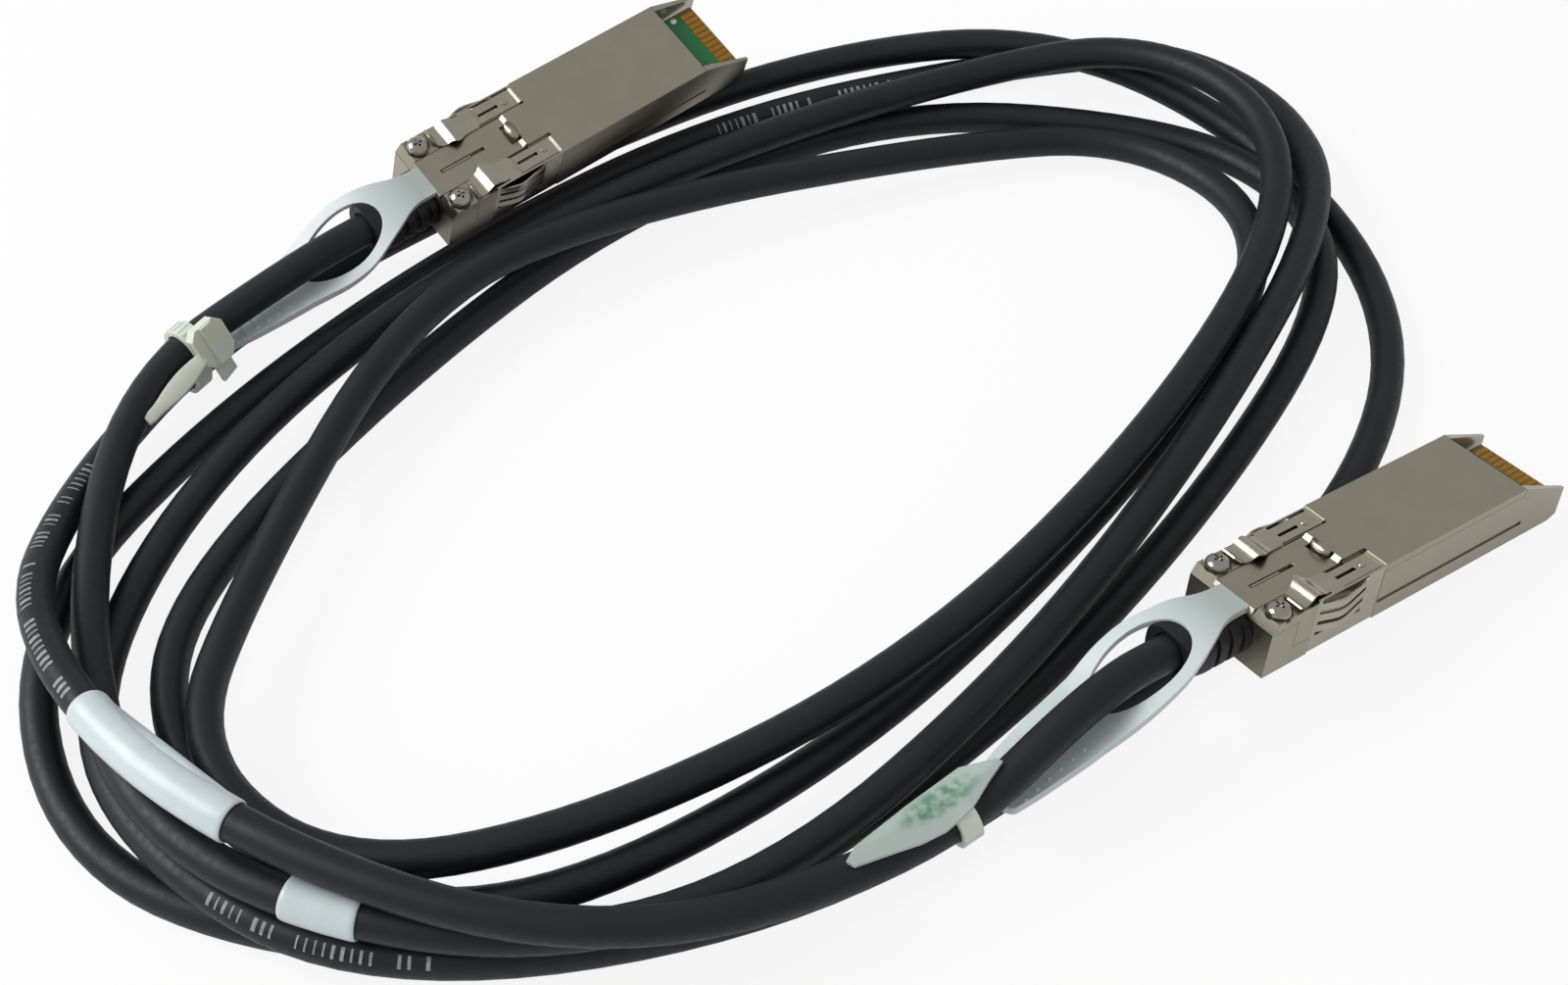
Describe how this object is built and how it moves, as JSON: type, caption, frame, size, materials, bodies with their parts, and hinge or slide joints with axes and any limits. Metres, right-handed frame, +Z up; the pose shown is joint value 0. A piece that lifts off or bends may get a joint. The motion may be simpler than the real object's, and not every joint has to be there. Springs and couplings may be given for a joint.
{
  "type": "direct attach copper cable",
  "caption": "Loosely coiled twin-axial copper cable with a plated pluggable module at each end, each with a pull-tab latch, an EMI spring collar and a strain relief, held by plastic ties.",
  "frame": {"origin": "on the surface that the coil lies on, under the middle of the box round the two modules with their pull tabs", "axes": "+Z up; +X along the longer spread of the two modules, from the left module towards the right one; +Y towards the far side, where the left module lies"},
  "size_m": [0.1975, 0.1675, 0.0204],
  "materials": {
    "plated_housing": "satin nickel plate on a zinc casting",
    "spring_steel": "bright spring steel",
    "latch_steel": "bright plated steel",
    "screw_steel": "bright nickel",
    "circuit_board": "green solder mask",
    "gold_contacts": "gold plate",
    "chip_moulding": "matt black moulding",
    "pair_foil": "foil",
    "ferrule_brass": "tinned brass",
    "boot_rubber": "matt black",
    "tab_plastic": "satin pale blue-white",
    "jacket_plastic": "satin charcoal",
    "sleeve_film": "satin white film",
    "tie_plastic": "translucent natural nylon"
  },
  "bodies": {
    "cable_set": {"left_base_shell": "plated_housing", "left_top_cover": "plated_housing", "left_spring_collar": "spring_steel", "left_return_spring": "spring_steel", "left_cover_screws": "screw_steel", "left_paddle_card": "circuit_board", "left_edge_contacts": "gold_contacts", "left_memory_chip": "chip_moulding", "left_core_pairs": "pair_foil", "left_crimp_ferrule": "ferrule_brass", "left_strain_boot": "boot_rubber", "right_base_shell": "plated_housing", "right_top_cover": "plated_housing", "right_spring_collar": "spring_steel", "right_return_spring": "spring_steel", "right_cover_screws": "screw_steel", "right_paddle_card": "circuit_board", "right_edge_contacts": "gold_contacts", "right_memory_chip": "chip_moulding", "right_core_pairs": "pair_foil", "right_crimp_ferrule": "ferrule_brass", "right_strain_boot": "boot_rubber", "cable_jacket": "jacket_plastic", "length_sleeve": "sleeve_film", "marker_sleeve": "sleeve_film", "left_cable_tie": "tie_plastic", "right_cable_tie": "tie_plastic"},
    "left_latch": {"left_latch_slider": "latch_steel", "left_pull_tab": "tab_plastic"},
    "right_latch": {"right_latch_slider": "latch_steel", "right_pull_tab": "tab_plastic"}
  },
  "joints": [
    {"name": "left_latch_slide", "type": "slide", "parent": "cable_set", "child": "left_latch", "axis": [-0.7431, -0.6691, 0], "range_m": [0, 0.0024], "stiffness_N_per_m": 400, "deforming": ["left_return_spring"]},
    {"name": "right_latch_slide", "type": "slide", "parent": "cable_set", "child": "right_latch", "axis": [-0.7984, -0.5801, 0.1616], "range_m": [0, 0.0024], "stiffness_N_per_m": 400, "deforming": ["right_return_spring"]}
  ]
}
